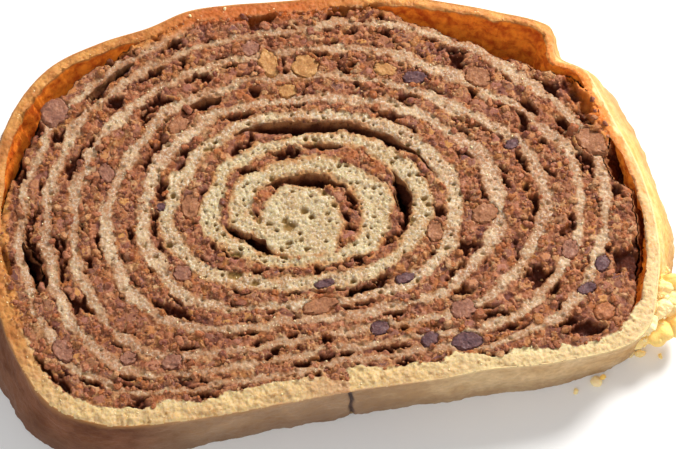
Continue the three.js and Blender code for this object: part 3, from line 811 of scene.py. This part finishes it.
class Looks:
    """Builds one node material."""

    def __init__(self, name):
        self.material = bpy.data.materials.new(name)
        self.material.use_nodes = True
        self.tree = self.material.node_tree
        self.tree.nodes.clear()
        self.place = self.tree.nodes.new("ShaderNodeTexCoord").outputs["Object"]

    def fill(self, node, inputs):
        """Links or sets inputs of a node. Colours are given as they display, from 0 to 255."""
        for key, value in inputs.items():
            socket = node.inputs[key]
            value = value.socket if isinstance(value, Value) else value
            if isinstance(value, bpy.types.NodeSocket):
                self.tree.links.new(value, socket)
            else:
                socket.default_value = linear(value) if socket.type == "RGBA" else value

    def node(self, kind, inputs):
        node = self.tree.nodes.new("ShaderNode" + kind)
        self.fill(node, inputs)
        return node

    def mark(self, name):
        """The named value at the points of a piece."""
        node = self.node("Attribute", {})
        node.attribute_name = name
        return Value(self, node.outputs["Fac"])

    def noise(self, size, detail=3.0, rough=0.55, low=0.3, high=0.7):
        """Noise with lumps of a size in millimetres, spread from 0 to 1."""
        node = self.node("TexNoise", {"Vector": self.place, "Scale": 1.0 / (size * MM),
                                      "Detail": detail, "Roughness": rough})
        return Value(self, node.outputs["Fac"]).range(low, high)

    def specks(self, size, reach):
        """Spots round scattered points: 1 at a point, 0 from a share of the size away."""
        node = self.node("TexVoronoi", {"Vector": self.place, "Scale": 1.0 / (size * MM)})
        return Value(self, node.outputs["Distance"]).range(reach, 0)

    def math(self, kind, a, b):
        node = self.node("Math", {0: a, 1: b})
        node.operation = kind
        return Value(self, node.outputs[0])

    def mix(self, share, a, b):
        """Colour a where the share is 0, and colour b where it is 1."""
        node = self.tree.nodes.new("ShaderNodeMix")
        node.data_type = "RGBA"
        self.fill(node, {0: share, 6: a, 7: b})
        return node.outputs[2]

    def over(self, colour, *layers):
        """A colour with others over it. Each comes with the share that it covers."""
        for share, other in layers:
            colour = self.mix(share, colour, other)
        return colour

    def ramp(self, value, stops):
        node = self.node("ValToRGB", {"Fac": value})
        marks = node.color_ramp.elements
        while len(marks) < len(stops):
            marks.new(0.5)
        for mark, (place, colour) in zip(marks, stops):
            mark.position = place
            mark.color = linear(colour)
        return node.outputs["Color"]

    def bump(self, size, depth, detail=3.0, rough=0.6, low=0.0, high=1.0):
        """Fine relief from noise. Its depth is in millimetres."""
        height = self.noise(size, detail, rough, low, high)
        node = self.node("Bump", {"Strength": 1.0, "Distance": depth * MM, "Height": height})
        return node.outputs["Normal"]

    def finish(self, colour, rough, normal, glow, shine, painted_glow=None):
        """The surface: how rough it is, how much light passes below it, its shine and its painted glow.
        """
        surface = self.node("BsdfPrincipled", {
            "Base Color": colour, "Roughness": rough, "Normal": normal, "Subsurface Weight": glow,
            "Subsurface Radius": (1.0, 0.45, 0.2), "Subsurface Scale": 1.8 * MM,
            "Specular IOR Level": shine})
        if painted_glow is not None:
            self.fill(surface, {"Emission Color": colour, "Emission Strength": painted_glow})
        output = self.tree.nodes.new("ShaderNodeOutputMaterial")
        self.tree.links.new(surface.outputs["BSDF"], output.inputs["Surface"])
        return self.material


def filling_colour(looks, fine, broad):
    """Ground walnuts and sugar: rose brown with orange, dark and purple bits, and pale specks that are
    painted glints.
    """
    brown = looks.ramp(looks.mark("lump"), [
        (0, (88, 50, 54)), (0.12, (130, 80, 70)), (0.28, (156, 94, 60)), (0.42, (194, 130, 98)),
        (0.55, (184, 128, 70)), (0.68, (176, 102, 54)), (0.82, (152, 96, 74)), (0.92, (204, 156, 104)),
        (1, (208, 170, 128))])
    bits = looks.ramp(looks.mark("grain"), [
        (0, (78, 38, 28)), (0.2, (134, 80, 54)), (0.5, (160, 102, 66)), (0.7, (184, 110, 56)),
        (0.86, (194, 138, 100)), (1, (224, 180, 130))])
    meat = looks.ramp(looks.mark("piece"), [
        (0, (156, 98, 66)), (0.3, (132, 84, 68)), (0.45, (178, 118, 78)), (0.6, (156, 100, 86)),
        (0.75, (198, 140, 78)), (0.9, (112, 72, 72)), (1, (188, 124, 74))])
    meat = looks.mix(fine * 0.25, meat, (122, 72, 48))
    # The pale specks at the end are painted glints.
    return looks.over(brown, (0.38, bits), (broad * 0.2, (150, 94, 64)), (fine * 0.34, (98, 40, 14)),
                      (looks.mark("piece").range(0.02, 0.2), meat),
                      (looks.specks(0.62, 0.16) * 0.45, (238, 204, 164)))


def cut_face_looks(name):
    """Dough and filling as the knife left them, the opening walls and the browned rim."""
    looks = Looks(name)
    fine = looks.noise(0.45, 2)
    patch = looks.noise(3.5)
    broad = looks.noise(9, 2)
    turn = looks.mark("turn")
    around = looks.mark("around")
    on_dough = looks.mark("dough")
    inner = looks.mark("inner")
    deep = looks.mark("deep")
    later = turn.range(0.8, 3.6)

    # The sheet: clean near the middle, soaked and smeared by the filling further out.
    pale = looks.mix(patch, (198, 180, 138), (182, 152, 106))
    stained = looks.mix(patch, (214, 186, 148), (176, 132, 96))
    faint = looks.math("MAXIMUM", around.range(-170, -130) * around.range(-20, -60),
                       around.range(50, 80) * around.range(150, 115))
    faint = (faint * 0.3 + 0.25) * turn.range(2.2, 4.4)
    soaked_edge = Value(looks, looks.mix(later, looks.mark("core"), looks.mark("stain")))
    edge_colour = looks.mix(later, (188, 126, 72), (162, 106, 66))
    foam = looks.noise(0.5, 3, 0.7, 0.46, 0.66) * 0.65 * soaked_edge.range(1, 0.2)
    # The dark specks are pores: painted shade over their own olive-brown tint.
    dough = looks.over(
        pale, (later, stained), (broad.range(0.35, 0.9) * later * 0.65, (158, 108, 76)),
        (looks.noise(2.6, 4, 0.7, 0.5, 0.62) * later * 0.55, (172, 112, 70)),
        (faint, (168, 120, 84)), (soaked_edge * patch.range(-0.4, 0.75) * 0.85, edge_colour),
        (looks.specks(0.9, 0.3) * later.range(2.2, 0) * 0.55, (124, 90, 48)),
        (looks.specks(0.6, 0.3) * 0.45, (142, 108, 64)), (foam * (1 - faint), (230, 220, 202)))

    # The thick crumb of the base.
    # The crumb's dark specks are pores, painted shade over their own tint; its pale patch at the lower
    # right is painted light.
    painted_light_low_right = around.range(-72, -38) * around.range(-8, -24)
    crumb = looks.over(
        looks.mix(patch, (218, 190, 130), (196, 156, 96)), (fine * 0.45, (242, 230, 192)),
        (looks.specks(1, 0.28) * 0.5, (166, 126, 66)), (painted_light_low_right * 0.35, (246, 236, 186)))
    dough = looks.over(dough, (turn.range(7.72, 7.8), crumb), (fine * 0.25, (146, 108, 78)))

    colour = looks.mix(on_dough, filling_colour(looks, fine, broad), dough)
    # Painted shade in the hollows: dark red-brown in the filling, and in the dough's pores and bubbles
    # an olive brown that is partly their own tint.
    dark = looks.mix(on_dough, (76, 28, 10), (142, 108, 58))
    colour = looks.mix(looks.mark("hollow").range(0.05, 0.95), colour, dark)

    # The rim, browned everywhere but at the base.
    reach = patch * 1.2 + looks.mark("edge")
    toast = looks.mix(patch, (206, 140, 70), (176, 104, 46))
    # Painted light: on the right, the rounded rim is pale at its very edge, turning to orange toast
    # further in.
    painted_light_rim = looks.mix(reach.range(0.6, 1.6), (242, 208, 144), (216, 120, 42))
    toast = looks.mix(around.range(32, 20) * around.range(-44, -24), toast, painted_light_rim)
    on_top = around.range(62, 84) * around.range(128, 104)
    toast = looks.mix(on_top, toast, (178, 86, 24))
    at_base = around.range(-166, -146) * around.range(12, -14)
    toasted = reach.range(5.4, 2.8) * turn.range(7, 7.15) * at_base.range(1.25, 0, "LINEAR")
    colour = looks.mix(toasted * 0.9, colour, toast)

    # The walls of the openings, darker deeper down as painted shade. Those under the crust are given a
    # painted glow.
    tan = looks.mix(looks.noise(1.6), (168, 116, 74), (124, 74, 46))
    walls = looks.mix(deep.range(0.4, 3.4), tan, (86, 42, 28))
    glaze = looks.mix(looks.noise(2.2, 4), (226, 124, 38), (162, 64, 18))
    under_crust = on_dough * turn.range(7.2, 7.4)
    walls = looks.mix(under_crust, walls, glaze)
    colour = looks.mix(inner, colour, walls)
    # Painted glow on the opening walls under the crust, fading deeper down.
    painted_glow = under_crust * inner * deep.range(24, 2) * 0.42 * around.range(400, 60)
    rough = looks.noise(0.8, 2).range(-0.8, 1.5, "LINEAR")
    return looks.finish(colour, rough, looks.bump(0.35, 0.1), 0.3, 0.18, painted_glow)


def crumb_looks(name):
    """Loose bits of the filling."""
    looks = Looks(name)
    colour = filling_colour(looks, looks.noise(0.4, 2), looks.noise(9, 2))
    rough = looks.noise(0.7, 2).range(-0.6, 1.6, "LINEAR")
    return looks.finish(colour, rough, looks.bump(0.3, 0.08), 0.3, 0.25)


def pale_crumb_looks(name):
    """Loose bits of the dough, with a faint painted glow."""
    looks = Looks(name)
    colour = looks.mix(looks.mark("lump"), (246, 228, 178), (250, 206, 112))
    colour = looks.mix(looks.noise(0.5) * 0.2, colour, (216, 168, 104))
    rough = looks.noise(0.7, 2).range(-1.2, 1.4, "LINEAR")
    return looks.finish(colour, rough, looks.bump(0.4, 0.1), 0.3, 0.25, 0.12)


def crust_looks(name):
    """The baked outside: dark on the left, grey-brown below, pale gold on the right. This is the
    crust's own browning, with painted shade on the left and below and painted light on the right.
    """
    looks = Looks(name)
    around = looks.mark("around")
    height = looks.mark("height")
    patch = looks.noise(7, 4)
    fine = looks.noise(1.3, 4)
    # Painted light pales the right side and the right of the base, and painted shade darkens the left
    # and the base, over the crust's browning.
    right = looks.mix(patch, (240, 198, 122), (226, 170, 92))
    right_up = looks.mix(patch, (224, 182, 116), (204, 156, 90))
    top = looks.mix(patch, (198, 128, 60), (168, 90, 32))
    left = looks.mix(patch, (128, 76, 46), (94, 52, 32))
    base = looks.mix(patch, (178, 140, 102), (148, 110, 76))
    base = looks.mix(fine * 0.4, base, (178, 158, 136))
    base_right = looks.mix(patch, (232, 198, 148), (208, 168, 118))
    base = looks.mix(around.range(268, 318), base, base_right)
    colour = looks.over(
        right, (around.range(3, 14), right_up), (around.range(30, 60), top),
        (around.range(130, 170), left), (around.range(222, 238), base),
        (around.range(325, 336), right))
    # edge: a painted highlight along the wall's upper edge, from the top round the left.
    edge = height.range(13, 14.6) * around.range(30, 70) * around.range(300, 240)
    # lip: painted light, pale just below the cut edge on the right, like the rim there.
    on_right = looks.math("MAXIMUM", around.range(26, 14), around.range(292, 312))
    lip = on_right * looks.mark("below").range(0.9, 0.1)
    # Painted shade greys and darkens the wall towards the floor.
    colour = looks.over(
        colour, (fine * 0.3, (136, 90, 54)), (looks.mark("seam").range(0.1, 0.8), (84, 66, 62)),
        (height.range(9, 1) * 0.35, (128, 100, 84)), (edge * 0.35, (212, 156, 92)),
        (lip * 0.8, (240, 210, 154)))
    rough = patch.range(-1.5, 1.4, "LINEAR")
    return looks.finish(colour, rough, looks.bump(0.9, 0.25, 4), 0.12, 0.22)


def nut_looks(name, light, dark, deep):
    """Walnut meat, moist where it is cut."""
    looks = Looks(name)
    patch = looks.noise(1.8, 4)
    colour = looks.mix(patch, light, dark)
    colour = looks.mix(looks.noise(0.45) * 0.5, colour, deep)
    rough = patch.range(-0.7, 1.6, "LINEAR")
    return looks.finish(colour, rough, looks.bump(0.7, 0.16, 4), 0.25, 0.25)


def floor_looks(name):
    """Plain pale paint."""
    looks = Looks(name)
    shade = looks.mix(looks.noise(400, 1), (250, 250, 250), (246, 246, 246))
    return looks.finish(shade, 0.9, looks.bump(300, 0.01, 1, 0.55, 0.3, 0.7), 0, 0.1)


NUT_COLOURS = {
    "brown": [(178, 122, 84), (150, 98, 66), (112, 66, 42)],
    "pale": [(200, 150, 92), (176, 122, 70), (142, 92, 52)],
    "mauve": [(168, 116, 90), (140, 92, 74), (102, 62, 48)],
    "dark": [(118, 82, 80), (90, 60, 64), (62, 40, 46)],
    "amber": [(186, 120, 76), (160, 96, 60), (122, 68, 44)],
}
dough_looks = cut_face_looks("dough_cut")
filling_looks = cut_face_looks("filling_cut")
outer_looks = crust_looks("crust_outside")
loose_looks = crumb_looks("filling_crumbs")
pale_looks = pale_crumb_looks("dough_crumbs")
walnut = {kind: nut_looks("walnut_" + kind, *colours) for kind, colours in NUT_COLOURS.items()}

# ---- The slice ----

points, faces, soft, marks, wall_points, wall, wall_soft, wall_marks = build_upper_face()
middle = points[faces].mean(axis=1)
inner_half = np.hypot(middle[:, 0] - MID_X, (middle[:, 1] - MID_Y) * 1.35) < 39.0  # an oval
dough_inner = make_piece("dough_inner", points, faces[soft & inner_half], marks, dough_looks)
dough_outer = make_piece("dough_outer", points, faces[soft & ~inner_half], marks, dough_looks)
filling_inner = make_piece("filling_inner", points, faces[~soft & inner_half], marks, filling_looks)
filling_outer = make_piece("filling_outer", points, faces[~soft & ~inner_half], marks, filling_looks)
dough_walls = make_piece("dough_opening_walls", wall_points, wall[wall_soft], wall_marks, dough_looks)
filling_walls = make_piece("filling_opening_walls", wall_points, wall[~wall_soft], wall_marks,
                           filling_looks)
points, faces, marks = build_crust_wall()
crust = make_piece("crust", points, faces, marks, outer_looks)
points, faces, soft, marks = build_underside()
dough_under = make_piece("dough_underside", points, faces[soft], marks, dough_looks)
filling_under = make_piece("filling_underside", points, faces[~soft], marks, filling_looks)
for piece in (dough_inner, dough_outer, dough_walls, crust, dough_under):
    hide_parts("dough")
for piece in (filling_inner, filling_outer, filling_walls, filling_under):
    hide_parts("filling")
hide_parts("filling", "filling_core")

for index, (name, *nut, kind) in enumerate(NUTS):
    points, faces = lumpy_nut(nut, index, SLICE - 0.3)
    piece = make_piece(name + "_meat", points, faces, {}, walnut[kind])
    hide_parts(name)
for kind, looks in walnut.items():
    parts = [lumpy_nut(nut, 20 + k, SLICE - 0.32)
             for k, (*nut, own_kind) in enumerate(SMALL_NUTS) if own_kind == kind]
    if parts:
        points, faces = merged(parts)
        make_piece("small_nuts_" + kind, points, faces, {}, looks)

# Crumbs on the face: name, number, smallest and largest radius, detail, and whether on the dough.
CRUMBS = [["filling_chunks", 1500, 0.3, 0.85, 2, False], ["filling_grains", 6000, 0.12, 0.3, 1, False],
          ["dough_grains", 1200, 0.08, 0.18, 1, True]]
few = 1.0
for name, count, smallest, largest, detail, on_dough in CRUMBS:
    points, faces, tags = scattered_crumbs(int(count * few), smallest, largest, detail, on_dough)
    looks, slot = (pale_looks, "dough") if on_dough else (loose_looks, "filling")
    make_piece(name, points, faces, tags, looks, smooth=False)

# Torn crust at the lower right corner: place, half lengths, direction and how toasted each is.
TORN = [[[60.0, -35.0, 6.2], [3.2, 2.2, 2.6], 15, 0.9], [[64.2, -33.4, 5.8], [2.4, 2.6, 2.8], 40, 0.8],
        [[56.9, -34.3, 10.6], [2.3, 1.7, 2.2], 20, 0.1], [[62.6, -30.0, 7.6], [2.4, 3.0, 3.0], 70, 0.4],
        [[60.2, -31.6, 10.4], [2.3, 2.0, 1.8], 30, 0.2], [[56.6, -35.2, 4.0], [2.6, 1.3, 2.2], 15, 0.6],
        [[63.0, -26.4, 8.6], [1.8, 3.2, 3.4], 80, 0.9], [[61.4, -28.0, 11.0], [1.5, 2.2, 1.6], 60, 0.5]]
# Loose crumbs there and on the face: place, radius and how toasted each is.
LOOSE = [[56.7, -36.9, 0.7, 0.8, 0.5], [54.9, -36.6, 0.6, 0.6, 0.3], [60.4, -38.0, 0.6, 0.7, 0.6],
         [47.4, -41.2, 0.9, 1.2, 0.1], [48.7, -40.6, 1.5, 0.6, 1.0], [43.2, -42.3, 0.5, 0.5, 0.3],
         [-11.9, 40.2, 14.7, 0.4, 0.0], [-18.8, 39.8, 14.7, 0.35, 0.0]]
parts, ripe = [], []
for index, (place, sizes, turn, dark) in enumerate(TORN):
    parts.append(torn_lump(place, sizes, turn, 1.0 - 0.8 * dark, index))
    ripe.append(np.full(len(parts[-1][0]), dark))
places = [row[:3] for row in LOOSE]
sizes = [row[3] for row in LOOSE]
dark_bits = [row[4] for row in LOOSE]
for place, lengths, _, dark in TORN:
    for k in range(14):
        way = rng.standard_normal(3)
        way = way / np.linalg.norm(way) * np.array(lengths)
        size = 0.2 + 0.5 * rng.random() ** 3
        places.append([place[0] + way[0], place[1] + way[1], max(place[2] + way[2], size)])
        sizes.append(size)
        dark_bits.append(dark * rng.random())
points, faces, number = rough_balls(np.array(places), sizes, 2)
parts.append((points, faces))
ripe.append(np.array(dark_bits)[number])
points, faces = merged(parts)
points[:, 2] = np.clip(points[:, 2], 0.0, SLICE)
make_piece("torn_crust", points, faces,
           {"lump": np.concatenate(ripe), "grain": rng.random(len(points))}, pale_looks)

# ---- Floor, camera and light ----

bpy.ops.mesh.primitive_plane_add(size=3.0, location=(0, 0, 0))
floor = bpy.context.object
floor.name = "floor"
floor.data.materials.append(floor_looks("floor_paint"))

TARGET = (2.99, -7.38, 15.0)  # the point that the camera looks at, and its distance
DISTANCE = 450.0
azimuth, elevation = math.radians(-8.8), math.radians(70.0)
back = Vector((math.sin(azimuth) * math.cos(elevation), -math.cos(azimuth) * math.cos(elevation),
               math.sin(elevation)))
camera = bpy.data.objects.new("camera", bpy.data.cameras.new("camera"))
bpy.context.scene.collection.objects.link(camera)
camera.location = Vector(TARGET) * MM + back * DISTANCE * MM
camera.rotation_mode = "QUATERNION"
camera.rotation_quaternion = (-back).to_track_quat("-Z", "Y")
camera.data.sensor_width = 36.0
camera.data.lens = 127.5
camera.data.clip_start, camera.data.clip_end = 0.01, 10.0
bpy.context.scene.camera = camera


def area_light(name, place, size, watts, colour):
    """A round lamp that shines at the slice. Its place and size are in metres."""
    light = bpy.data.lights.new(name, "AREA")
    light.shape = "DISK"
    light.size = size
    light.energy = watts
    light.color = colour
    lamp = bpy.data.objects.new(name, light)
    bpy.context.scene.collection.objects.link(lamp)
    lamp.location = place
    lamp.rotation_mode = "QUATERNION"
    lamp.rotation_quaternion = (-Vector(place)).to_track_quat("-Z", "Y")


area_light("key", (0.42, 0.34, 0.42), 0.2, 6.6, (1.0, 0.98, 0.95))
area_light("fill", (-0.25, -0.45, 0.7), 0.6, 1.6, (1.0, 0.99, 0.97))

world = bpy.data.worlds.new("studio")
bpy.context.scene.world = world
world.use_nodes = True
sky = world.node_tree.nodes["Background"]
sky.inputs["Color"].default_value = (1.0, 1.0, 1.0, 1.0)
sky.inputs["Strength"].default_value = 0.45
bpy.context.scene.view_settings.view_transform = "Standard"
